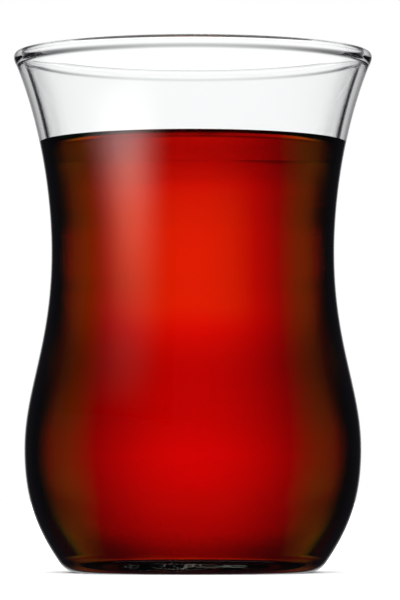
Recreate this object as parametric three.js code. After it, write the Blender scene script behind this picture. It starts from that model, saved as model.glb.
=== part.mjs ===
// A waisted tea glass, one thin-walled piece of clear glass, with black tea to a little under its rim.
// Millimetres, +Z up, origin at the centre of the foot, on the surface that the glass stands on.
import * as THREE from "three";

// The outside of the glass, from the foot up. A radius and a height place each station, and a slope
// is how far the outline moves out for each millimetre that it rises.
const FOOT_INNER_RADIUS = 15.5;
const FOOT_OUTER_RADIUS = 18.6;
const HEEL_RADIUS = 21.8;
const HEEL_HEIGHT = 1.7;
const HEEL_SLOPE = 0.69;
const BELLY_RADIUS = 27.47;
const BELLY_HEIGHT = 20.15;
const WAIST_RADIUS = 23.11;
const WAIST_HEIGHT = 52.1;
const NECK_RADIUS = 28.66;
const NECK_HEIGHT = 82.3;
const NECK_SLOPE = 0.39;
const RIM_RADIUS = 29.3;
const HEIGHT = 85;

// The fire-polished lip is round on top and a little fatter than the wall under it.
const LIP_RADIUS = 0.87;
const LIP_TURN = Math.PI;

// The underside is a shallow dome, so that the glass stands on a flat ring.
const DOME_HEIGHT = 0.9;
const DOME_SHOULDER = 2.2;

// Wall thickness, square to the outside, at the stations above and at the tea's level.
const HEEL_WALL = 2.8;
const BELLY_WALL = 2.1;
const WAIST_WALL = 1.5;
const LEVEL_WALL = 1.25;
const NECK_WALL = 1.24;

// The inside floor, which rises a little over the dome, and the curve from it up to the wall.
const FLOOR_RADIUS = 15;
const FLOOR_HEIGHT = 2.8;
const FLOOR_RISE = 0.5;
const INNER_HEEL_HEIGHT = 4.6;
const INNER_HEEL_REACH = 2.6;

// The tea: its level, and how it climbs the wall at its edge.
const TEA_LEVEL = 69.7;
const MENISCUS_RISE = 0.8;
const MENISCUS_WIDTH = 2.6;
const TEA_CLEARANCE = 0.3;

// How finely the outlines and the turning are divided.
const TURN_STEPS = 56;
const WALL_STEPS = 7;
const ARC_STEPS = 6;
const LIP_STEPS = 3;
const FLOOR_STEPS = 4;
const MENISCUS_STEPS = 4;

const point = (radius, height) => new THREE.Vector2(radius, height);

// A curve of the outline between two points, with the handles that shape it at each end.
function curve(start, startHandle, end, endHandle) {
  return new THREE.CubicBezierCurve(
    start,
    start.clone().add(startHandle),
    end.clone().add(endHandle),
    end,
  );
}

const heelStart = point(FOOT_OUTER_RADIUS, 0);
const heelEnd = point(HEEL_RADIUS, HEEL_HEIGHT);
const belly = point(BELLY_RADIUS, BELLY_HEIGHT);
const waist = point(WAIST_RADIUS, WAIST_HEIGHT);
const neck = point(NECK_RADIUS, NECK_HEIGHT);
const lipCentre = point(RIM_RADIUS - LIP_RADIUS, HEIGHT - LIP_RADIUS);
const lipSide = point(RIM_RADIUS, lipCentre.y);

// A handle of the given rise along a slope, up the outline or down it.
const sloped = (slope, rise) => point(slope * rise, rise);
const upright = (rise) => point(0, rise);

// The wall's outside is upright where it passes the belly and the waist.
const wallCurves = [
  curve(heelEnd, sloped(HEEL_SLOPE, 6.1), belly, upright(-7.1)),
  curve(belly, upright(9.8), waist, upright(-15.1)),
  curve(waist, upright(5.3), neck, sloped(NECK_SLOPE, -12.5)),
];
const heelCurve = curve(heelStart, point(1.4, 0), heelEnd, sloped(HEEL_SLOPE, -1.1));
const lipCurve = curve(neck, sloped(NECK_SLOPE, 0.6), lipSide, upright(-0.7));

// The wall's thickness at a height, eased from station to station.
const WALL_STATIONS = [
  [HEEL_HEIGHT, HEEL_WALL],
  [BELLY_HEIGHT, BELLY_WALL],
  [WAIST_HEIGHT, WAIST_WALL],
  [TEA_LEVEL, LEVEL_WALL],
  [NECK_HEIGHT, NECK_WALL],
];

function wallAt(height) {
  let wall = HEEL_WALL;
  for (let i = 1; i < WALL_STATIONS.length; i++) {
    const [low, wallLow] = WALL_STATIONS[i - 1];
    const [high, wallHigh] = WALL_STATIONS[i];
    if (height > low) {
      const share = THREE.MathUtils.smoothstep(height, low, high);
      wall = THREE.MathUtils.lerp(wallLow, wallHigh, share);
    }
  }
  return wall;
}

// Points up the wall from the heel to the neck, each one set in from the outside by depthAt its height.
function wallPoints(depthAt) {
  return wallCurves.flatMap((wallCurve, index) => {
    const points = [];
    for (let i = index === 0 ? 0 : 1; i <= WALL_STEPS; i++) {
      const outside = wallCurve.getPoint(i / WALL_STEPS);
      const along = wallCurve.getTangent(i / WALL_STEPS);
      const depth = depthAt(outside.y);
      points.push(point(outside.x - along.y * depth, outside.y + along.x * depth));
    }
    return points;
  });
}

// The underside, from the axis out to the flat ring: a dome with rounded shoulders.
function undersidePoints() {
  const dome = new THREE.CubicBezierCurve(
    point(0, DOME_HEIGHT),
    point(FOOT_INNER_RADIUS / 2, DOME_HEIGHT),
    point(FOOT_INNER_RADIUS - DOME_SHOULDER, DOME_HEIGHT),
    point(FOOT_INNER_RADIUS, 0),
  );
  return dome.getPoints(ARC_STEPS);
}

// The round top of the lip, from its outside over to its inside.
function lipTopPoints() {
  const points = [];
  for (let i = 1; i <= ARC_STEPS; i++) {
    const angle = (LIP_TURN * i) / ARC_STEPS;
    const radius = lipCentre.x + LIP_RADIUS * Math.cos(angle);
    points.push(point(radius, lipCentre.y + LIP_RADIUS * Math.sin(angle)));
  }
  return points;
}

// The inside below the lip, from the axis out over the floor and up the wall. A clearance sets the
// whole line in from the glass, as the tea's own skin is.
function insidePoints(clearance) {
  const wall = wallPoints((height) => wallAt(height) + clearance);
  const upper = wall.filter((p) => p.y > INNER_HEEL_HEIGHT + clearance);
  const upward = upper[1].clone().sub(upper[0]).normalize();
  const floorEdge = point(FLOOR_RADIUS, FLOOR_HEIGHT + clearance);
  const innerHeel = curve(
    floorEdge,
    point(INNER_HEEL_REACH, 0),
    upper[0],
    upward.multiplyScalar(-INNER_HEEL_REACH),
  );
  const floor = [];
  for (let i = 0; i < FLOOR_STEPS; i++) {
    const share = i / FLOOR_STEPS;
    const rise = FLOOR_RISE * (1 - share * share);
    floor.push(point(FLOOR_RADIUS * share, floorEdge.y + rise));
  }
  return [...floor, ...innerHeel.getPoints(ARC_STEPS), ...upper.slice(1)];
}

function glassOutline() {
  return [
    ...undersidePoints(),
    ...heelCurve.getPoints(ARC_STEPS).slice(0, -1),
    ...wallPoints(() => 0),
    ...lipCurve.getPoints(LIP_STEPS).slice(1),
    ...lipTopPoints(),
    ...insidePoints(0).reverse(),
  ];
}

// The tea fills the inside to its level. Its flat top climbs to the wall in a hollow curve.
function teaOutline() {
  const contact = TEA_LEVEL + MENISCUS_RISE;
  const side = insidePoints(TEA_CLEARANCE);
  const above = side.findIndex((p) => p.y > contact);
  const [low, high] = [side[above - 1], side[above]];
  const edgeRadius = THREE.MathUtils.mapLinear(contact, low.y, high.y, low.x, high.x);
  const surface = [];
  for (let i = 0; i <= MENISCUS_STEPS; i++) {
    const share = i / MENISCUS_STEPS;
    const rise = MENISCUS_RISE * (1 - share) ** 2;
    surface.push(point(edgeRadius - MENISCUS_WIDTH * share, TEA_LEVEL + rise));
  }
  return [...side.filter((p) => p.y < TEA_LEVEL), ...surface, point(0, TEA_LEVEL)];
}

// Turns an outline about the upright axis.
function turned(name, outline, material) {
  const geometry = new THREE.LatheGeometry(outline, TURN_STEPS);
  geometry.rotateX(Math.PI / 2);
  const mesh = new THREE.Mesh(geometry, material);
  mesh.name = name;
  return mesh;
}

const glassMaterial = new THREE.MeshStandardMaterial({
  name: "clear glass",
  color: 0xf2f5f5,
  roughness: 0.03,
  metalness: 0,
  transparent: true,
  opacity: 0.35,
});
const teaMaterial = new THREE.MeshStandardMaterial({
  name: "black tea",
  color: 0x9c1400,
  roughness: 0.05,
  metalness: 0,
});

const teaGlass = new THREE.Group();
teaGlass.add(turned("glass", glassOutline(), glassMaterial));
teaGlass.add(turned("tea", teaOutline(), teaMaterial));

export default teaGlass;
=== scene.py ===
# %% [markdown]
# # A waisted tea glass, full of dark tea
# This lesson finishes one small still life: a thin glass with a narrow waist and a flared lip, and the tea
# in it. Both are turned forms, so the whole lesson rests on one drawn outline and one small lathe. What makes
# the picture is light: it comes through the tea from behind, and the dark lines at the edges are partly dark
# surroundings, bent into view by the glass, and partly painted shade in the colours of the glass and the tea.

# %% Load the frame
import math

import bpy
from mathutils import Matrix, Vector


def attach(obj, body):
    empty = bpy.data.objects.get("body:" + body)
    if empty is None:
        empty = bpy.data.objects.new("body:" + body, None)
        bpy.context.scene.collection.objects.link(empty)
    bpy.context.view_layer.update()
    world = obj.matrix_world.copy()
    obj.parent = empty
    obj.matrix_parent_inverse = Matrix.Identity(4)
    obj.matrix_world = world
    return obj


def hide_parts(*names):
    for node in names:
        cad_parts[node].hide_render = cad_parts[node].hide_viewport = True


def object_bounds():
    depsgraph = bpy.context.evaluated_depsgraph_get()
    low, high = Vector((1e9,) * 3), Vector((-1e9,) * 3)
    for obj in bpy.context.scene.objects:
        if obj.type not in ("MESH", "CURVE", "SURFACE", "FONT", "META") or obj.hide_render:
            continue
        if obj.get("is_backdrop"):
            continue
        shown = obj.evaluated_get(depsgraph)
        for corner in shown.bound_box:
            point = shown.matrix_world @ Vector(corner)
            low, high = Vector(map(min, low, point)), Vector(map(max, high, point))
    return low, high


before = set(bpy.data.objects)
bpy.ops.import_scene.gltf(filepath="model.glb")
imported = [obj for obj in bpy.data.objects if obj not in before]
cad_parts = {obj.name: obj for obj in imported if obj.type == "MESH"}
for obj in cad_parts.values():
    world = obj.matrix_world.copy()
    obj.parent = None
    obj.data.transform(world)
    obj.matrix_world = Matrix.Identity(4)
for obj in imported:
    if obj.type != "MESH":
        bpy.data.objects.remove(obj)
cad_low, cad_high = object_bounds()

MM = 0.001
print("solids to dress:", ", ".join(sorted(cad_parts)))
print("their box, mm:", [round(v / MM, 1) for v in (*cad_low, *cad_high)])

# %% [markdown]
# ## The camera
# A long lens far away keeps a small object calm, with hardly any perspective. The photographer's eye was
# just above the table: the lip shows its underside, while the foot is seen almost edge on. The camera could
# be placed by eye, but it's quicker to work it out: the picture's scale at the glass, and the pixel where the
# glass stands, give the lens and the aim once the distance is chosen.

# %% Camera from the picture's own measures
PICTURE_WIDTH = 400
PICTURE_HEIGHT = 600
FOOT_PIXEL_X = 192.9
FOOT_PIXEL_Y = 571.7
PIXELS_PER_MM = 6.118
EYE_DISTANCE = 690 * MM
EYE_HEIGHT = 14 * MM
SENSOR = 36.0

pixel = MM / PIXELS_PER_MM
aim_side = (PICTURE_WIDTH / 2 - FOOT_PIXEL_X) * pixel
aim_height = (FOOT_PIXEL_Y - PICTURE_HEIGHT / 2) * pixel
aim = Vector((aim_side, 0, aim_height))
eye = Vector((aim_side, -EYE_DISTANCE, EYE_HEIGHT))

camera = bpy.data.objects.new("camera", bpy.data.cameras.new("camera"))
bpy.context.scene.collection.objects.link(camera)
bpy.context.scene.camera = camera
camera.location = eye
camera.rotation_mode = "QUATERNION"
camera.rotation_quaternion = (aim - eye).to_track_quat("-Z", "Y")
camera.data.sensor_width = SENSOR
camera.data.lens = SENSOR * (aim - eye).length / (PICTURE_HEIGHT * pixel)
camera.data.clip_start = 0.05
camera.data.clip_end = 10
print("lens %.0f mm, aimed at a height of %.1f mm" % (camera.data.lens, aim.z / MM))

# %% [markdown]
# ## The outline
# A turned form is known by its outline. The glass has few places that matter: foot, heel, belly, waist, neck
# and lip. Bezier curves join them, upright where they pass the belly and the waist. A long list of points
# would give the same line, but nobody could read it or change it.

# %% Driving sizes, in millimetres
FOOT_INNER_RADIUS = 15.5
FOOT_OUTER_RADIUS = 18.6
HEEL = Vector((21.8, 1.7))
HEEL_SLOPE = 0.69
BELLY = Vector((27.47, 20.15))
WAIST = Vector((23.11, 52.1))
NECK = Vector((28.66, 82.3))
NECK_SLOPE = 0.39
RIM_RADIUS = 29.3
HEIGHT = 85
LIP_RADIUS = 0.87
DOME_HEIGHT = 0.9
DOME_SHOULDER = 2.2


# %% A curve between two places
def bezier(start, start_handle, end, end_handle, steps):
    """Points and directions along a curve that leaves and arrives along its handles."""
    a, b = start + start_handle, end + end_handle
    points, directions = [], []
    for i in range(steps + 1):
        t = i / steps
        s = 1 - t
        points.append(s**3 * start + 3 * s * s * t * a + 3 * s * t * t * b + t**3 * end)
        along = s * s * (a - start) + 2 * s * t * (b - a) + t * t * (end - b)
        directions.append(along.normalized())
    return points, directions


def sloped(slope, rise):
    return Vector((slope * rise, rise))


def upright(rise):
    return Vector((0, rise))


# %% The wall's outside, from the heel to the neck
# How far the curves' handles rise or fall from each place, in millimetres.
WALL_STEPS = 34
HEEL_UP = 6.1
BELLY_DOWN = -7.1
BELLY_UP = 9.8
WAIST_DOWN = -15.1
WAIST_UP = 5.3
NECK_DOWN = -12.5

wall_curves = [
    bezier(HEEL, sloped(HEEL_SLOPE, HEEL_UP), BELLY, upright(BELLY_DOWN), WALL_STEPS),
    bezier(BELLY, upright(BELLY_UP), WAIST, upright(WAIST_DOWN), WALL_STEPS),
    bezier(WAIST, upright(WAIST_UP), NECK, sloped(NECK_SLOPE, NECK_DOWN), WALL_STEPS),
]
wall_outside = []
for index, (points, directions) in enumerate(wall_curves):
    skip = 1 if index else 0
    wall_outside += list(zip(points[skip:], directions[skip:]))
print("the wall's outside has", len(wall_outside), "points")

# %% [markdown]
# ## The wall
# The inside of a blown glass isn't drawn, it follows: the wall has a thickness everywhere, most at the heel
# and least above the tea. So the inside is the outside, moved in by the wall. A Solidify modifier would do
# that with one thickness, but here it has to change with height, because it also decides where the dark line
# of the inner wall falls in the picture.

# %% How thick the wall is at each height
TEA_LEVEL = 69.7
MENISCUS_RISE = 0.8
CONTACT_HEIGHT = TEA_LEVEL + MENISCUS_RISE
WALL_STATIONS = [(HEEL.y, 2.8), (BELLY.y, 2.1), (WAIST.y, 1.5), (TEA_LEVEL, 1.25), (NECK.y, 1.24)]


def wall_at(height):
    """The wall's thickness at a height, eased from station to station."""
    thickness = WALL_STATIONS[0][1]
    for (low, wall_low), (high, wall_high) in zip(WALL_STATIONS, WALL_STATIONS[1:]):
        if height > low:
            t = min(1, (height - low) / (high - low))
            thickness = wall_low + (wall_high - wall_low) * t * t * (3 - 2 * t)
    return thickness


def wall_inside(clearance):
    """The wall's inside, with a clearance from the glass. A negative one reaches into it."""
    points = []
    for point, along in wall_outside:
        depth = wall_at(point.y) + clearance
        points.append(point + Vector((-along.y, along.x)) * depth)
    return points


# %% The inside, from the middle of the floor up to the neck
FLOOR_RADIUS = 15.0
FLOOR_HEIGHT = 2.8
FLOOR_RISE = 0.5
FLOOR_STEPS = 30
INNER_HEEL_HEIGHT = 4.6
INNER_HEEL_REACH = 2.6
ARC_STEPS = 18


def inside_line(clearance):
    """The part that tea wets, up to where its edge climbs to, and the dry part above."""
    upper = [p for p in wall_inside(clearance) if p.y > INNER_HEEL_HEIGHT + clearance]
    edge = Vector((FLOOR_RADIUS, FLOOR_HEIGHT + clearance))
    downward = (upper[0] - upper[1]).normalized() * INNER_HEEL_REACH
    heel, _ = bezier(edge, Vector((INNER_HEEL_REACH, 0)), upper[0], downward, ARC_STEPS)
    floor = []
    for i in range(FLOOR_STEPS):
        share = i / FLOOR_STEPS
        floor.append(Vector((FLOOR_RADIUS * share, edge.y + FLOOR_RISE * (1 - share**2))))
    line = floor + heel + upper[1:]
    below = [p for p in line if p.y < CONTACT_HEIGHT]
    above = line[len(below):]
    share = (CONTACT_HEIGHT - below[-1].y) / (above[0].y - below[-1].y)
    return below + [below[-1].lerp(above[0], share)], above


# %% The underside, from the middle of the dome out to the heel
FOOT_STEPS = 6
TOE_OUT = 1.4
HEEL_DOWN = -1.1


def underside_line():
    centre, ring = Vector((0, DOME_HEIGHT)), Vector((FOOT_INNER_RADIUS, 0))
    crown = Vector((FOOT_INNER_RADIUS / 2, 0))
    shoulder = Vector((-DOME_SHOULDER, DOME_HEIGHT))
    dome, _ = bezier(centre, crown, ring, shoulder, 2 * ARC_STEPS)
    toe = Vector((FOOT_OUTER_RADIUS, 0))
    foot = [ring.lerp(toe, i / FOOT_STEPS) for i in range(1, FOOT_STEPS)]
    heel, _ = bezier(toe, Vector((TOE_OUT, 0)), HEEL, sloped(HEEL_SLOPE, HEEL_DOWN), ARC_STEPS)
    return dome + foot + heel


# %% The lip, and the whole outline of the glass
NECK_UP = 0.6
LIP_SIDE_DOWN = -0.7
LIP_INSIDE = 0.5


def lip_line(inside_top, inside_below):
    """From the neck out to the lip's side, over its round top and down to the inside."""
    centre = Vector((RIM_RADIUS - LIP_RADIUS, HEIGHT - LIP_RADIUS))
    side = centre + Vector((LIP_RADIUS, 0))
    lip, _ = bezier(NECK, sloped(NECK_SLOPE, NECK_UP), side, upright(LIP_SIDE_DOWN), ARC_STEPS)
    for i in range(1, ARC_STEPS + 1):
        angle = math.pi * i / ARC_STEPS
        lip.append(centre + Vector((math.cos(angle), math.sin(angle))) * LIP_RADIUS)
    upward = (inside_top - inside_below).normalized() * LIP_INSIDE
    inner, _ = bezier(lip[-1], upright(-LIP_INSIDE), inside_top, upward, ARC_STEPS // 2)
    return lip + inner[1:]


def glass_outline():
    """The outline from under the foot over the lip to the inside floor, and each point's part."""
    wet, dry = inside_line(0)
    outside = underside_line() + [p for p, _ in wall_outside[1:]]
    outside += lip_line(dry[-1], dry[-2])[1:]
    inside = dry[-2::-1]
    parts = ["outside"] * len(outside) + ["inside"] * len(inside) + ["wet"] * len(wet)
    return outside + inside + wet[::-1], parts


# %% [markdown]
# ## The tea's own outline
# A liquid has the shape of what holds it, so the tea's side is the inside of the glass. It could stop just
# short of the wall, but the thin gap of air between them would mirror light like silver. So it reaches a hair
# into the wall instead. Its top is flat, and climbs the wall a little at its edge, because tea wets glass.

# %% The tea's outline, to its level and up the wall at its edge
TEA_REACH = 0.05
MENISCUS_WIDTH = 2.6
FLAT_FROM = 2.2
FLAT_HANDLE = 1.6
CONTACT_HANDLE = 0.5
CONTACT_DIRECTION = Vector((-0.55, -0.83))
SURFACE_STEPS = 24


def tea_outline():
    """The tea's outline, from the middle of its floor to the middle of its surface."""
    side, _ = inside_line(-TEA_REACH)
    contact = side[-1]
    flat = Vector((contact.x - FLAT_FROM * MENISCUS_WIDTH, TEA_LEVEL))
    inward = CONTACT_DIRECTION * CONTACT_HANDLE
    edge, _ = bezier(contact, inward, flat, Vector((FLAT_HANDLE * MENISCUS_WIDTH, 0)), ARC_STEPS)
    surface = edge[1:]
    for i in range(1, SURFACE_STEPS + 1):
        surface.append(flat.lerp(Vector((0, TEA_LEVEL)), i / SURFACE_STEPS))
    return side + surface, ["wet"] * len(side) + ["outside"] * len(surface)


print("glass outline:", len(glass_outline()[0]), "points; tea outline:", len(tea_outline()[0]))

# %% [markdown]
# ## The lathe
# A turned form repeats its outline round an axis. Blender's Screw modifier or bmesh's spin would do it, but a
# small Geometry Nodes tree shows what turning is: a flat grid whose rows are the outline's points and whose
# columns are angles. Each vertex looks up its row's point, swings it round to its column's angle, and the
# seam and the poles are welded. The tree also brings a row's own waviness: a pressed foot is never quite
# even, and its small hills and hollows are what breaks the light under the tea into glints.

# %% Helpers for node trees
def node(tree, kind, values=(), **settings):
    """Adds a node, with its settings and the values of its unlinked inputs."""
    made = tree.nodes.new(kind)
    for name, value in settings.items():
        setattr(made, name, value)
    for name, value in dict(values).items():
        made.inputs[name].default_value = value
    return made


def link(tree, source, target):
    tree.links.new(source, target)


def math_node(tree, operation, *inputs):
    """A Math node whose inputs are numbers or sockets. Gives back its result."""
    made = node(tree, "ShaderNodeMath", operation=operation)
    for i, value in enumerate(inputs):
        if isinstance(value, (int, float)):
            made.inputs[i].default_value = value
        else:
            link(tree, value, made.inputs[i])
    return made.outputs[0]


# %% The lathe as a Geometry Nodes tree
RIPPLES_PER_METRE = 330.0
NOISE_MIDDLE = 0.5


def lathe_tree():
    tree = bpy.data.node_groups.new("Lathe", "GeometryNodeTree")
    face = tree.interface
    face.new_socket("Outline", in_out="INPUT", socket_type="NodeSocketGeometry")
    for name in ("Outline points", "Turn steps"):
        face.new_socket(name, in_out="INPUT", socket_type="NodeSocketInt")
    for name in ("Weld distance", "Ripples"):
        face.new_socket(name, in_out="INPUT", socket_type="NodeSocketFloat")
    for name in ("Dry material", "Wet material"):
        face.new_socket(name, in_out="INPUT", socket_type="NodeSocketMaterial")
    face.new_socket("Turned", in_out="OUTPUT", socket_type="NodeSocketGeometry")
    given = node(tree, "NodeGroupInput").outputs
    rows, columns = given["Outline points"], given["Turn steps"]

    grid = node(tree, "GeometryNodeMeshGrid")
    link(tree, math_node(tree, "ADD", columns, 1), grid.inputs["Vertices X"])
    link(tree, rows, grid.inputs["Vertices Y"])

    index = node(tree, "GeometryNodeInputIndex").outputs[0]
    row = math_node(tree, "MODULO", index, rows)
    column = math_node(tree, "FLOOR", math_node(tree, "DIVIDE", index, rows))
    angle = math_node(tree, "MULTIPLY", math_node(tree, "DIVIDE", column, columns), math.tau)

    def looked_up(kind, value):
        look = node(tree, "GeometryNodeSampleIndex", data_type=kind)
        link(tree, given["Outline"], look.inputs["Geometry"])
        link(tree, value, look.inputs["Value"])
        link(tree, row, look.inputs["Index"])
        return look.outputs[0]

    def named(name, kind):
        return node(tree, "GeometryNodeInputNamedAttribute", {"Name": name}, data_type=kind).outputs[0]

    place = looked_up("FLOAT_VECTOR", node(tree, "GeometryNodeInputPosition").outputs[0])
    swing = node(tree, "ShaderNodeVectorRotate", rotation_type="Z_AXIS")
    link(tree, place, swing.inputs["Vector"])
    link(tree, angle, swing.inputs["Angle"])
    ripple = node(tree, "ShaderNodeTexNoise", {"Detail": 1.0})
    link(tree, swing.outputs[0], ripple.inputs["Vector"])
    link(tree, given["Ripples"], ripple.inputs["Scale"])
    height = math_node(tree, "SUBTRACT", ripple.outputs[0], NOISE_MIDDLE)
    waver = looked_up("FLOAT", named("waver", "FLOAT"))
    lift = node(tree, "ShaderNodeCombineXYZ")
    link(tree, math_node(tree, "MULTIPLY", height, waver), lift.inputs[2])
    turned = node(tree, "GeometryNodeSetPosition")
    link(tree, grid.outputs["Mesh"], turned.inputs["Geometry"])
    link(tree, swing.outputs[0], turned.inputs["Position"])
    link(tree, lift.outputs[0], turned.inputs["Offset"])

    kept = turned.outputs[0]
    for name, kind in (("wet", "BOOLEAN"), ("inside", "FLOAT")):
        keep = node(tree, "GeometryNodeStoreNamedAttribute", {"Name": name}, data_type=kind)
        link(tree, kept, keep.inputs["Geometry"])
        link(tree, looked_up(kind, named(name, kind)), keep.inputs["Value"])
        kept = keep.outputs[0]
    weld = node(tree, "GeometryNodeMergeByDistance")
    link(tree, kept, weld.inputs["Geometry"])
    link(tree, given["Weld distance"], weld.inputs["Distance"])
    smooth = node(tree, "GeometryNodeSetShadeSmooth")
    link(tree, weld.outputs[0], smooth.inputs["Geometry"])
    real = node(tree, "GeometryNodeRealizeInstances")
    link(tree, smooth.outputs[0], real.inputs[0])
    dry = node(tree, "GeometryNodeSetMaterial")
    link(tree, real.outputs[0], dry.inputs["Geometry"])
    link(tree, given["Dry material"], dry.inputs["Material"])
    wet = node(tree, "GeometryNodeSetMaterial")
    link(tree, dry.outputs[0], wet.inputs["Geometry"])
    link(tree, named("wet", "BOOLEAN"), wet.inputs["Selection"])
    link(tree, given["Wet material"], wet.inputs["Material"])
    link(tree, wet.outputs[0], node(tree, "NodeGroupOutput").inputs["Turned"])
    return tree


lathe = lathe_tree()
print("the lathe has", len(lathe.nodes), "nodes")

# %% Turning an outline into a plain mesh
TURN_STEPS = 256
WELD = 0.0005 * MM
WAVER = 0.22
WAVER_TOP = 4.0
WAVER_FALL = 4


def waver_at(point):
    """How uneven the pressed foot is here: most in its middle, nothing on its ring or its wall."""
    if point.y > WAVER_TOP or point.x > FLOOR_RADIUS:
        return 0.0
    return WAVER * MM * (1 - (point.x / FLOOR_RADIUS) ** WAVER_FALL)


def turn(name, outline, dry_material, wet_material):
    """Draws the outline in the XZ plane, turns it with the lathe and keeps the plain mesh."""
    line, parts = outline
    drawn = bpy.data.meshes.new(name + "_outline")
    points = [(p.x * MM, 0, p.y * MM) for p in line]
    drawn.from_pydata(points, [(i, i + 1) for i in range(len(points) - 1)], [])
    marks = {
        "wet": ("BOOLEAN", [part == "wet" for part in parts]),
        "inside": ("FLOAT", [float(part == "inside") for part in parts]),
        "waver": ("FLOAT", [waver_at(p) for p in line]),
    }
    for mark, (kind, values) in marks.items():
        drawn.attributes.new(mark, kind, "POINT").data.foreach_set("value", values)
    drawn.materials.append(dry_material)
    work = bpy.data.objects.new(name + "_outline", drawn)
    bpy.context.scene.collection.objects.link(work)
    modifier = work.modifiers.new("Lathe", "NODES")
    modifier.node_group = lathe
    sockets = {s.name: s.identifier for s in lathe.interface.items_tree if s.in_out == "INPUT"}
    modifier[sockets["Outline points"]] = len(points)
    modifier[sockets["Turn steps"]] = TURN_STEPS
    modifier[sockets["Weld distance"]] = WELD
    modifier[sockets["Ripples"]] = RIPPLES_PER_METRE
    modifier[sockets["Dry material"]] = dry_material
    modifier[sockets["Wet material"]] = wet_material
    graph = bpy.context.evaluated_depsgraph_get()
    mesh = bpy.data.meshes.new_from_object(work.evaluated_get(graph))
    while mesh.materials[0] is None:
        mesh.materials.pop(index=0)
    mesh.name = name
    bpy.data.objects.remove(work)
    piece = bpy.data.objects.new(name, mesh)
    bpy.context.scene.collection.objects.link(piece)
    return piece


# %% A look at a turned mesh: which way it faces, and whether it is closed
import bmesh

MILLILITRE = (10 * MM) ** 3


def inspect(piece):
    """Turns an inside-out mesh round, and prints its volume, its open edges and its faces."""
    body = bmesh.new()
    body.from_mesh(piece.data)
    volume = body.calc_volume(signed=True) / MILLILITRE
    if volume < 0:
        bmesh.ops.reverse_faces(body, faces=body.faces)
        body.to_mesh(piece.data)
    open_edges = sum(1 for e in body.edges if len(e.link_faces) != 2)
    body.free()
    names = [material.name for material in piece.data.materials]
    counts = [0] * len(names)
    for face in piece.data.polygons:
        counts[face.material_index] += 1
    print("%s: %.1f ml, %d open edges, faces:" % (piece.name, abs(volume), open_edges), end=" ")
    print(", ".join("%d %s" % pair for pair in zip(counts, names)))


# %% [markdown]
# ## Clear glass
# Glass is almost only its shape: what is seen is bent and mirrored surroundings. Two things tell real glass
# from a perfect lens. It is a little uneven, because it was blown and turned while soft, and a dark line runs
# down each side of the dry glass, where the eye only grazes the inner wall. The first is a shared node group
# that gives a faint tint and a faint relief. The second is painted shade: a Fresnel node in the material
# itself darkens the glass's colour where the inner wall is seen at a slant. The outline's own mark, inside,
# keeps it off the outer wall, whose edge is only a thin grey line.

# %% Helpers for materials
def new_group(name, inputs, outputs):
    """A shader node group with named float, vector or colour sockets."""
    tree = bpy.data.node_groups.new(name, "ShaderNodeTree")
    for socket, kind in inputs.items():
        tree.interface.new_socket(socket, in_out="INPUT", socket_type="NodeSocket" + kind)
    for socket, kind in outputs.items():
        tree.interface.new_socket(socket, in_out="OUTPUT", socket_type="NodeSocket" + kind)
    return tree, node(tree, "NodeGroupInput").outputs, node(tree, "NodeGroupOutput").inputs


def ramp_node(tree, factor, stops):
    """A Color Ramp with stops of a place from 0 to 1 and a colour."""
    made = node(tree, "ShaderNodeValToRGB")
    elements = made.color_ramp.elements
    while len(elements) < len(stops):
        elements.new(1.0)
    for element, (place, colour) in zip(elements, stops):
        element.position = place
        element.color = (*colour, 1)
    link(tree, factor, made.inputs[0])
    return made.outputs[0]


def mix_node(tree, factor, a, b, blend="MIX"):
    made = node(tree, "ShaderNodeMix", data_type="RGBA", blend_type=blend)
    for socket, value in ((made.inputs[0], factor), (made.inputs["A"], a), (made.inputs["B"], b)):
        if isinstance(value, (float, tuple)):
            socket.default_value = value
        else:
            link(tree, value, socket)
    return made.outputs["Result"]


# %% Blown glass: a faint tint and a faint relief
GLASS_TINT_THIN = (0.995, 0.998, 1.0)
GLASS_TINT_THICK = (0.975, 0.992, 0.985)
CORDS_PER_METRE = 55.0
CORD_STRETCH = (1.0, 1.0, 0.35)


def blown_glass_group():
    tree, given, out = new_group(
        "Blown glass",
        {"Place": "Vector", "Cords": "Float"},
        {"Colour": "Color", "Relief": "Float"},
    )
    stretch = node(tree, "ShaderNodeMapping", {"Scale": CORD_STRETCH})
    link(tree, given["Place"], stretch.inputs["Vector"])
    noise = node(tree, "ShaderNodeTexNoise", {"Detail": 1.0, "Roughness": 0.4})
    link(tree, stretch.outputs[0], noise.inputs["Vector"])
    link(tree, given["Cords"], noise.inputs["Scale"])
    thin, thick = (*GLASS_TINT_THIN, 1), (*GLASS_TINT_THICK, 1)
    link(tree, mix_node(tree, noise.outputs[0], thin, thick), out["Colour"])
    link(tree, noise.outputs[0], out["Relief"])
    return tree


blown_glass = blown_glass_group()

# %% The two materials of the glass: in air, and where tea wets it
GLASS_IOR = 1.5
TEA_IOR = 1.333
RELIEF_DEPTH = 0.02 * MM


def clear_material(name, ior):
    material = bpy.data.materials.new(name)
    material.use_nodes = True
    shader = material.node_tree.nodes["Principled BSDF"]
    shader.inputs["Roughness"].default_value = 0.0
    shader.inputs["IOR"].default_value = ior
    shader.inputs["Transmission Weight"].default_value = 1.0
    return material, material.node_tree, shader


def glass_material(name, ior):
    material, tree, shader = clear_material(name, ior)
    body = node(tree, "ShaderNodeGroup", node_tree=blown_glass)
    link(tree, node(tree, "ShaderNodeTexCoord").outputs["Object"], body.inputs["Place"])
    body.inputs["Cords"].default_value = CORDS_PER_METRE
    bump = node(tree, "ShaderNodeBump", {"Distance": RELIEF_DEPTH})
    link(tree, body.outputs["Relief"], bump.inputs["Height"])
    link(tree, bump.outputs[0], shader.inputs["Normal"])
    link(tree, body.outputs["Colour"], shader.inputs["Base Color"])
    return material, tree, shader, body


wetted_glass = glass_material("wetted_glass", GLASS_IOR / TEA_IOR)[0]
polished_glass, tree, shader, body = glass_material("polished_glass", GLASS_IOR)
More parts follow.
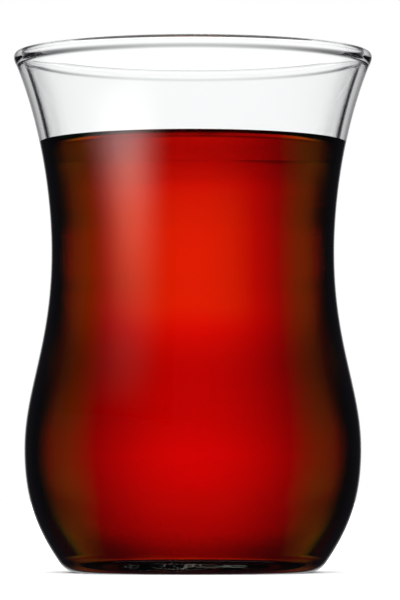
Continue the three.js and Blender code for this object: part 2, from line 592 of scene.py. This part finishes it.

# %% The dark line of the inner wall: painted shade where it is seen at a slant
EDGE_FROM = 0.26
EDGE_TO = 0.42
EDGE_DARK = (0.01, 0.01, 0.015, 1)

fresnel = node(tree, "ShaderNodeFresnel", {"IOR": GLASS_IOR})
edge = node(tree, "ShaderNodeMapRange", {"From Min": EDGE_FROM, "From Max": EDGE_TO})
link(tree, fresnel.outputs[0], edge.inputs["Value"])
inside = node(tree, "ShaderNodeAttribute", attribute_name="inside").outputs["Fac"]
grazed = math_node(tree, "MULTIPLY", edge.outputs[0], inside)
link(tree, mix_node(tree, grazed, body.outputs["Colour"], EDGE_DARK), shader.inputs["Base Color"])
print("glass in air bends light by %.2f, and against tea by %.3f" % (GLASS_IOR, GLASS_IOR / TEA_IOR))

# %% [markdown]
# ## The tea
# Black tea is clear, and its colour is what is left after the light has gone through it: blue is gone in a
# millimetre or two, green in a centimetre, and red nearly stays. That is an absorbing volume, and not a
# coloured surface, so thin places turn amber by themselves. The tea's skin also carries painted light and
# shade by height: lighter and more orange above, deeper red and darker below. The volume's colour is a plain
# value, so this painted light and shade goes into the colour of the tea's skin, which light crosses twice.
# Two parts of the skin stand out. Its floor is a neutral grey, painted shade that dims the light in the foot
# under it without reddening it, and a near black stop at the top paints the dark line of shade at the tea's
# edge.

# %% The brew's colour, with painted light and shade, by height in millimetres
BREW = [
    (0.0, (0.50, 0.52, 0.56)),
    (3.2, (0.50, 0.52, 0.56)),
    (3.5, (0.41, 0.02, 0.02)),
    (6.2, (0.30, 0.02, 0.02)),
    (10.0, (0.51, 0.02, 0.02)),
    (16.0, (0.79, 0.02, 0.02)),
    (19.0, (0.86, 0.02, 0.02)),
    (25.0, (0.70, 0.02, 0.02)),
    (31.0, (0.81, 0.02, 0.02)),
    (34.5, (0.88, 0.06, 0.05)),
    (38.0, (0.94, 0.07, 0.05)),
    (42.0, (0.98, 0.30, 0.20)),
    (57.0, (0.94, 0.27, 0.20)),
    (60.0, (0.85, 0.24, 0.17)),
    (63.5, (0.83, 0.17, 0.10)),
    (65.0, (0.75, 0.06, 0.04)),
    (66.8, (0.52, 0.04, 0.03)),
    (69.5, (0.43, 0.04, 0.03)),
    (70.0, (0.10, 0.02, 0.02)),
]
BREW_TOP = CONTACT_HEIGHT * MM
WISPS_PER_METRE = 110.0
WISP_HEIGHT = 2.2 * MM


# The ramp carries the tea's colour together with painted light and shade by height.
def brew_group():
    tree, given, out = new_group(
        "Brew and painted shade",
        {"Place": "Vector", "Lowered by": "Float", "Wisps": "Float"},
        {"Colour": "Color"},
    )
    split = node(tree, "ShaderNodeSeparateXYZ")
    link(tree, given["Place"], split.inputs[0])
    noise = node(tree, "ShaderNodeTexNoise", {"Scale": WISPS_PER_METRE, "Detail": 2.0})
    link(tree, given["Place"], noise.inputs["Vector"])
    even = math_node(tree, "SUBTRACT", noise.outputs[0], NOISE_MIDDLE)
    drift = math_node(tree, "MULTIPLY", even, given["Wisps"])
    height = math_node(tree, "ADD", split.outputs[2], drift)
    lowered = math_node(tree, "SUBTRACT", height, given["Lowered by"])
    share = math_node(tree, "DIVIDE", lowered, BREW_TOP)
    stops = [(at * MM / BREW_TOP, colour) for at, colour in BREW]
    link(tree, ramp_node(tree, share, stops), out["Colour"])
    return tree


settled_brew = brew_group()

# %% The tea's two materials: its open surface, and where it meets the glass
# At the wall the wetted glass already bends the light into the tea, so the tea's skin there doesn't.
ABSORBING_DENSITY = 400.0
ABSORBING_COLOUR = (0.985, 0.8125, 0.0, 1)
UNBENT_IOR = 1.0
SURFACE_LOWERED = 6 * MM


def tea_material(name, ior, lowered_by):
    material, tree, shader = clear_material(name, ior)
    brew = node(tree, "ShaderNodeGroup", node_tree=settled_brew)
    link(tree, node(tree, "ShaderNodeTexCoord").outputs["Object"], brew.inputs["Place"])
    brew.inputs["Lowered by"].default_value = lowered_by
    brew.inputs["Wisps"].default_value = WISP_HEIGHT
    link(tree, brew.outputs["Colour"], shader.inputs["Base Color"])
    absorb = node(tree, "ShaderNodeVolumeAbsorption")
    absorb.inputs["Color"].default_value = ABSORBING_COLOUR
    absorb.inputs["Density"].default_value = ABSORBING_DENSITY
    link(tree, absorb.outputs[0], tree.nodes["Material Output"].inputs["Volume"])
    return material, tree, shader, brew


tea_surface = tea_material("tea_surface", TEA_IOR, SURFACE_LOWERED)[0]
tea_at_wall, tree, shader, brew = tea_material("tea_at_wall", UNBENT_IOR, 0.0)
print("the tea's skin has the materials", tea_surface.name, "and", tea_at_wall.name)

# %% [markdown]
# ## The sides of the tea
# Towards its sides the tea goes from red to brown and then to black, in bands with quite firm edges that
# follow the outline. Real light in a round glass gives softer and wavier bands than that. So these bands are
# painted into the tea's skin at the wall, as painted shade and a painted brown glow, by how far it turns away
# from the eye. A Layer Weight node tells that, and its normal is made from the place alone: straight out from
# the axis, as on a plain cylinder. The real normal also tips up and down with the belly and the waist, so its
# bands wouldn't keep an even width. They start just above the tea's floor, so that the foot keeps its own
# look.

# %% The sides of the tea: painted shade from red to brown to black
SIDE_SHADE = [
    (0.0, (1.0, 1.0, 1.0)),
    (0.02, (1.0, 1.0, 1.0)),
    (0.05, (1.0, 0.25, 0.5)),
    (0.215, (1.0, 0.25, 0.5)),
    (0.262, (0.02, 0.02, 0.03)),
]
SIDE_BROWN = [
    (0.09, (0.0, 0.0, 0.0)),
    (0.12, (0.0, 0.42, 0.05)),
    (0.155, (0.0, 1.0, 0.10)),
    (0.235, (0.0, 1.0, 0.10)),
    (0.272, (0.0, 0.0, 0.0)),
]
BANDS_FROM = 3.3 * MM
BANDS_FULL = 3.9 * MM
SIDEWAYS_ONLY = (1, 1, 0)

place = node(tree, "ShaderNodeTexCoord").outputs["Object"]
flat = node(tree, "ShaderNodeVectorMath", {1: SIDEWAYS_ONLY}, operation="MULTIPLY")
link(tree, place, flat.inputs[0])
level = node(tree, "ShaderNodeVectorTransform", vector_type="NORMAL")
level.convert_from = "OBJECT"
level.convert_to = "WORLD"
link(tree, flat.outputs[0], level.inputs[0])
weight = node(tree, "ShaderNodeLayerWeight", {"Blend": 0.5})
link(tree, level.outputs[0], weight.inputs["Normal"])
split = node(tree, "ShaderNodeSeparateXYZ")
link(tree, place, split.inputs[0])
wall = node(tree, "ShaderNodeMapRange", {"From Min": BANDS_FROM, "From Max": BANDS_FULL})
link(tree, split.outputs[2], wall.inputs["Value"])
turned_away = math_node(tree, "MULTIPLY", weight.outputs["Facing"], wall.outputs[0])
shade = ramp_node(tree, turned_away, SIDE_SHADE)
shaded = mix_node(tree, 1.0, brew.outputs["Colour"], shade, "MULTIPLY")
# A painted brown glow, laid over the painted shade of the sides.
brown = ramp_node(tree, turned_away, SIDE_BROWN)
link(tree, mix_node(tree, 1.0, shaded, brown, "LIGHTEN"), shader.inputs["Base Color"])
print("the sides go black where they turn away by", SIDE_SHADE[-1][0])

# %% [markdown]
# ## The two pieces
# Each outline is turned into one closed mesh, and each mesh takes the place of one plain solid. The two could
# be one mesh with a wall between glass and tea, but two pieces are easier to follow, and each keeps its own
# pair of materials: dry and wet for the glass, open surface and wall for the tea.

# %% Turn the glass and the tea
glass_piece = turn("tea_glass", glass_outline(), polished_glass, wetted_glass)
tea_piece = turn("tea_fill", tea_outline(), tea_surface, tea_at_wall)
for piece, solid, slot in ((glass_piece, "glass", "clear_glass"), (tea_piece, "tea", "tea")):
    inspect(piece)
    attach(piece, "root")
    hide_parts(solid)

# %% [markdown]
# ## The table
# The glass stands on a plain pale table that is lit until it is nearly white. Glass shows whatever lies under
# it, and a white table would fill the foot with light, so a dark, slightly blue disc of painted shadow lies
# under the glass. A dark table would do that too, but then all of the table would be dark. The disc is a
# trick
# of the studio: only light that comes through the glass meets it.

# %% Helpers for what stands round the glass
def stage_object(name, points, faces, material):
    """A mesh that belongs to the studio and not to the glass."""
    mesh = bpy.data.meshes.new(name)
    mesh.from_pydata(points, [], faces)
    mesh.materials.append(material)
    made = bpy.data.objects.new(name, mesh)
    bpy.context.scene.collection.objects.link(made)
    made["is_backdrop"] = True
    return made


def matt_material(name, colour):
    material = bpy.data.materials.new(name)
    material.use_nodes = True
    shader = material.node_tree.nodes["Principled BSDF"]
    shader.inputs["Base Color"].default_value = (*colour, 1)
    shader.inputs["Roughness"].default_value = 1.0
    shader.inputs["Specular IOR Level"].default_value = 0.0
    return material


def seen_only_by(item, *kinds):
    """Leaves an object to some kinds of light rays, and hides it from the others."""
    for kind in ("camera", "diffuse", "glossy", "transmission", "volume_scatter", "shadow"):
        setattr(item, "visible_" + kind, kind in kinds)


# %% A pale floor
FLOOR_HALF = 3.0
FLOOR_COLOUR = (0.9, 0.9, 0.9)

corners = [(-1, -1), (1, -1), (1, 1), (-1, 1)]
table = [(x * FLOOR_HALF, y * FLOOR_HALF, 0) for x, y in corners]
pale = matt_material("pale_floor", FLOOR_COLOUR)
floor = stage_object("floor", table, [(0, 1, 2, 3)], pale)
seen_only_by(floor, "camera", "diffuse", "shadow")
print("the floor is", 2 * FLOOR_HALF, "m wide")

# %% The painted shadow under the glass
MAT_RADIUS = 23 * MM
MAT_DROP = 0.2 * MM
MAT_SIDES = 64
FELT_COLOUR = (0.010, 0.0105, 0.014)

circle = [math.tau * i / MAT_SIDES for i in range(MAT_SIDES)]
disc = [(MAT_RADIUS * math.cos(a), MAT_RADIUS * math.sin(a), -MAT_DROP) for a in circle]
felt = matt_material("painted_shadow", FELT_COLOUR)
mat = stage_object("painted_shadow_disc", disc, [tuple(range(MAT_SIDES))], felt)
seen_only_by(mat, "transmission")
print("the mat reaches %.1f mm past the foot" % (MAT_RADIUS / MM - FOOT_OUTER_RADIUS))

# %% [markdown]
# ## A light at the left
# A long soft highlight runs down the left of the waist and fades out above the belly. A big window far away
# would also show on the belly, which faces the same way. A small card close to the glass doesn't: the belly
# mirrors a place under the card's lower edge. Only mirrored light meets it, so it lights nothing else. The
# card fades to both sides. It is brightest well above its middle, and its colour goes from a warm red to
# grey, because the highlight is pink down the tea and grey where it ends under the tea's level.

# %% The light card's measures, and its glow by height in millimetres
CARD_AZIMUTH = math.radians(-128)
CARD_DISTANCE = 35 * MM
CARD_ASIDE = -11 * MM
CARD_HALF_WIDTH = 20 * MM
CARD_LOW = 28 * MM
CARD_HIGH = 74 * MM
CARD_RISE = CARD_HIGH - CARD_LOW
CARD_SPREAD = 6.2 * MM
CARD_STRENGTH = 8.8
CARD_GLOW = [
    (28.0, (0.0, 0.0, 0.0)),
    (44.0, (0.06, 0.034, 0.028)),
    (49.0, (0.19, 0.105, 0.05)),
    (51.5, (0.39, 0.14, 0.07)),
    (56.5, (0.65, 0.224, 0.133)),
    (62.0, (0.81, 0.36, 0.29)),
    (65.0, (0.56, 0.42, 0.40)),
    (68.0, (0.35, 0.35, 0.35)),
    (74.0, (0.0, 0.0, 0.0)),
]


# %% The card's glow, as a material
BELL = -0.5


def bell(tree, square):
    """A soft fall from 1 to 0, by the square of a distance."""
    return math_node(tree, "EXPONENT", math_node(tree, "MULTIPLY", square, BELL))


def card_material():
    """A light that changes with height and fades to both sides of the card."""
    material = bpy.data.materials.new("card_glow")
    material.use_nodes = True
    tree = material.node_tree
    tree.nodes.remove(tree.nodes["Principled BSDF"])
    split = node(tree, "ShaderNodeSeparateXYZ")
    link(tree, node(tree, "ShaderNodeTexCoord").outputs["Object"], split.inputs[0])
    risen = math_node(tree, "SUBTRACT", split.outputs[2], CARD_LOW)
    up = math_node(tree, "DIVIDE", risen, CARD_RISE)
    stops = [((at * MM - CARD_LOW) / CARD_RISE, colour) for at, colour in CARD_GLOW]
    aside = math_node(tree, "DIVIDE", split.outputs[0], CARD_SPREAD)
    fade = bell(tree, math_node(tree, "MULTIPLY", aside, aside))
    glow = node(tree, "ShaderNodeEmission")
    link(tree, ramp_node(tree, up, stops), glow.inputs["Color"])
    link(tree, math_node(tree, "MULTIPLY", fade, CARD_STRENGTH), glow.inputs["Strength"])
    link(tree, glow.outputs[0], tree.nodes["Material Output"].inputs["Surface"])
    material.cycles.emission_sampling = "NONE"
    return material


# %% The card itself, close to the glass
outward = Vector((math.sin(CARD_AZIMUTH), math.cos(CARD_AZIMUTH), 0))
sideways = Vector((outward.y, -outward.x, 0))
card_corners = [(-1, CARD_LOW), (1, CARD_LOW), (1, CARD_HIGH), (-1, CARD_HIGH)]
card_shape = [(x * CARD_HALF_WIDTH, 0, z) for x, z in card_corners]
card = stage_object("light_card", card_shape, [(0, 1, 2, 3)], card_material())
card.location = outward * CARD_DISTANCE + sideways * CARD_ASIDE
card.rotation_euler.z = math.atan2(sideways.y, sideways.x)
seen_only_by(card, "glossy")
print("light card at, mm:", [round(v / MM, 1) for v in card.location])

# %% [markdown]
# ## The light all round
# The background of the picture is white, but the tea must not be lit from everywhere, or it would have no
# dark sides. A real studio puts black boards beside the glass. Here each kind of light ray gets the
# surroundings it needs instead, which can be tuned one at a time. All of them are built from one part: a soft
# window of light at some angle round the glass, between two heights.

# %% A soft window of light, as a node group
WINDOW_SOCKETS = (
    "Turn", "Half width", "Side fade", "Low", "Low fade", "High", "High fade", "Strength",
)


def window_group():
    inputs = {"Direction": "Vector", **{name: "Float" for name in WINDOW_SOCKETS}}
    tree, given, out = new_group("Soft window", inputs, {"Light": "Float"})
    swing = node(tree, "ShaderNodeVectorRotate", rotation_type="Z_AXIS")
    link(tree, given["Direction"], swing.inputs["Vector"])
    link(tree, math_node(tree, "RADIANS", given["Turn"]), swing.inputs["Angle"])
    split = node(tree, "ShaderNodeSeparateXYZ")
    link(tree, swing.outputs[0], split.inputs[0])
    turned = math_node(tree, "ARCTAN2", split.outputs[0], split.outputs[1])
    azimuth = math_node(tree, "DEGREES", turned)
    elevation = math_node(tree, "DEGREES", math_node(tree, "ARCSINE", split.outputs[2]))

    def beyond(value, limit, fade):
        """How far a value is past a limit, squared, with the fade as its measure."""
        past = math_node(tree, "MAXIMUM", math_node(tree, "SUBTRACT", value, limit), 0)
        share = math_node(tree, "DIVIDE", past, fade)
        return math_node(tree, "MULTIPLY", share, share)

    aside = beyond(math_node(tree, "ABSOLUTE", azimuth), given["Half width"], given["Side fade"])
    over = beyond(elevation, given["High"], given["High fade"])
    sunk = math_node(tree, "MULTIPLY", elevation, -1)
    under = beyond(sunk, math_node(tree, "MULTIPLY", given["Low"], -1), given["Low fade"])
    square = math_node(tree, "ADD", aside, math_node(tree, "ADD", over, under))
    link(tree, math_node(tree, "MULTIPLY", bell(tree, square), given["Strength"]), out["Light"])
    return tree


soft_window = window_group()
print("a window of light has the inputs", ", ".join(WINDOW_SOCKETS))

# %% The world's own helpers
world = bpy.data.worlds.new("studio")
bpy.context.scene.world = world
world.use_nodes = True
sky = world.node_tree
sky.nodes.clear()
direction = node(sky, "ShaderNodeTexCoord").outputs["Generated"]
ray = node(sky, "ShaderNodeLightPath").outputs


def window(
    turned, strength,
    half_width=0.0, side_fade=12.9, low=-4.0, low_fade=6.0, high=11.5, high_fade=3.3,
):
    """A window of light, turned from straight behind. All but its strength is in degrees."""
    made = node(sky, "ShaderNodeGroup", node_tree=soft_window)
    link(sky, direction, made.inputs["Direction"])
    values = (turned, half_width, side_fade, low, low_fade, high, high_fade, strength)
    for name, value in zip(WINDOW_SOCKETS, values):
        made.inputs[name].default_value = value
    return made.outputs[0]


def total(*lights):
    """The sum of some lights."""
    result = lights[0]
    for light in lights[1:]:
        result = math_node(sky, "ADD", result, light)
    return result


def over_dim(light, dim):
    """A light over dim surroundings, which are slightly blue."""
    made = node(sky, "ShaderNodeVectorMath", {1: dim}, operation="ADD")
    link(sky, light, made.inputs[0])
    return made.outputs[0]


# %% [markdown]
# ## What shines through the tea
# A narrow bright window straight behind makes the red middle of the tea. The narrower it is, the darker the
# tea's sides are. Beside it, two faint windows give the sides their brown glow, and two higher ones the
# corners of the tea, which bend the eye's way upwards. The bright window is repeated for the other sides that
# the glass can be seen from, and a glow from below keeps the tea red for an eye that looks down on it.

# %% The light behind the tea
BACKLIGHT = 1.08
SIDE_TURN = 30
SIDE_LIGHT = 0.055
CORNER_LIGHT = 0.24
FLOOR_GLOW = 0.6

corner = {"side_fade": 8, "low": 18, "low_fade": 3, "high": 26, "high_fade": 4}
below = {"half_width": 180, "low": -90}
through_tea = total(
    window(0, BACKLIGHT),
    window(SIDE_TURN, SIDE_LIGHT, side_fade=5.5),
    window(-SIDE_TURN, SIDE_LIGHT, side_fade=4),
    window(SIDE_TURN, CORNER_LIGHT, **corner),
    window(-SIDE_TURN, CORNER_LIGHT, **corner),
    window(180, BACKLIGHT),
    *[window(azimuth, BACKLIGHT, side_fade=7.5) for azimuth in (90, -90)],
    *[window(azimuth, BACKLIGHT, side_fade=10) for azimuth in (135, -135)],
    window(0, FLOOR_GLOW, high=-21, high_fade=3, **below),
)

# %% [markdown]
# ## What shines through the dry glass
# Above the tea, the glass is clear and pale, with dark lines where its walls turn away. So most of what
# shines through it is light, and the dark above and between the windows helps to draw the lines. Light that
# was also mirrored inside the wall shows at the sides of the dry glass. It gets dimmer windows with firm
# edges, and two narrow ones brighten the sides of the one behind. The outside of the glass mirrors a light
# overhead, and a dimmer, narrow one behind that follows the whole outline as a thin grey line.

# %% The light behind the dry glass, straight and mirrored on its way
GLASS_LIGHT = 1.08
UNDER_LIGHT = 1.0
BENT_LIGHT = 0.44
GLINT_LIGHT = 0.25
GLINT_TURN = 25

tall = {"low": -10, "low_fade": 4, "high": 20, "high_fade": 5}
short = {"low": -10, "low_fade": 4, "high": 13, "high_fade": 6}
broad = {"half_width": 19, "side_fade": 3, **short}
firm = {"half_width": 28.5, "side_fade": 1.2, **tall}
glint = {"half_width": 3.5, "side_fade": 2, **tall}
under = window(0, UNDER_LIGHT, high=-20, high_fade=6, **below)
straight = total(
    under,
    *[window(azimuth, GLASS_LIGHT, **broad) for azimuth in range(0, 360, 45)],
)
bent = total(
    under,
    *[window(azimuth, BENT_LIGHT, **firm) for azimuth in range(0, 360, 90)],
    *[window(azimuth, GLINT_LIGHT, **glint) for azimuth in (-GLINT_TURN, GLINT_TURN)],
)

# %% What the outside of the glass mirrors
OVERHEAD_LIGHT = 1.2
GRAZING_LIGHT = 0.5

overhead = window(0, OVERHEAD_LIGHT, half_width=180, low=60, low_fade=8, high=90)
grazing = window(0, GRAZING_LIGHT, half_width=8, side_fade=4, **tall)
mirrored = total(overhead, grazing)
windows = [n for n in sky.nodes if n.bl_idname == "ShaderNodeGroup"]
print("the studio has", len(windows), "windows of light")

# %% [markdown]
# ## Which ray sees what
# The Light Path node tells the rays apart. The camera itself sees white, and the table is lit by an even
# studio. A ray straight through the dry glass crosses four surfaces, and one that goes through the tea too
# crosses six, so the count tells which of the two it was.

# %% Each kind of ray gets its own surroundings
DIM_THROUGH = (0.0065, 0.007, 0.0095)
DIM_MIRRORED = (0.018, 0.0175, 0.023)
STUDIO = (2.2, 2.2, 2.2, 1)
WHITE = (1, 1, 1, 1)
MOST_GLASS_CROSSINGS = 4.5
NO_MIRRORING = 0.5

met_tea = math_node(sky, "GREATER_THAN", ray["Transmission Depth"], MOST_GLASS_CROSSINGS)
was_mirrored = math_node(sky, "GREATER_THAN", ray["Glossy Depth"], NO_MIRRORING)
straight_light = over_dim(straight, DIM_THROUGH)
bent_light = over_dim(bent, DIM_THROUGH)
through_glass = mix_node(sky, was_mirrored, straight_light, bent_light)
through = mix_node(sky, met_tea, through_glass, over_dim(through_tea, DIM_THROUGH))
colour = mix_node(sky, ray["Is Diffuse Ray"], over_dim(mirrored, DIM_MIRRORED), STUDIO)
colour = mix_node(sky, ray["Is Transmission Ray"], colour, through)
colour = mix_node(sky, ray["Is Camera Ray"], colour, WHITE)
background = node(sky, "ShaderNodeBackground")
link(sky, colour, background.inputs["Color"])
link(sky, background.outputs[0], node(sky, "ShaderNodeOutputWorld").inputs["Surface"])
world.cycles.sampling_method = "NONE"
print("the sky has", len(sky.nodes), "nodes")

# %% [markdown]
# ## The last settings
# A ray through the glass and the tea crosses many surfaces and needs a good number of bounces, or the glass
# gets black patches. The Standard view keeps white white and the reds full, where a filmic one greys them.

# %% Picture settings
MOST_CROSSINGS = 24
MOST_MIRRORINGS = 12

scene = bpy.context.scene
scene.view_settings.view_transform = "Standard"
scene.cycles.max_bounces = MOST_CROSSINGS
scene.cycles.transmission_bounces = MOST_CROSSINGS
scene.cycles.glossy_bounces = MOST_MIRRORINGS
scene.cycles.use_denoising = True
print("a ray may take", scene.cycles.max_bounces, "bounces")

# %% Hand over
low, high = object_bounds()
print("dressed box, mm:", [round(v / MM, 1) for v in (*low, *high)])
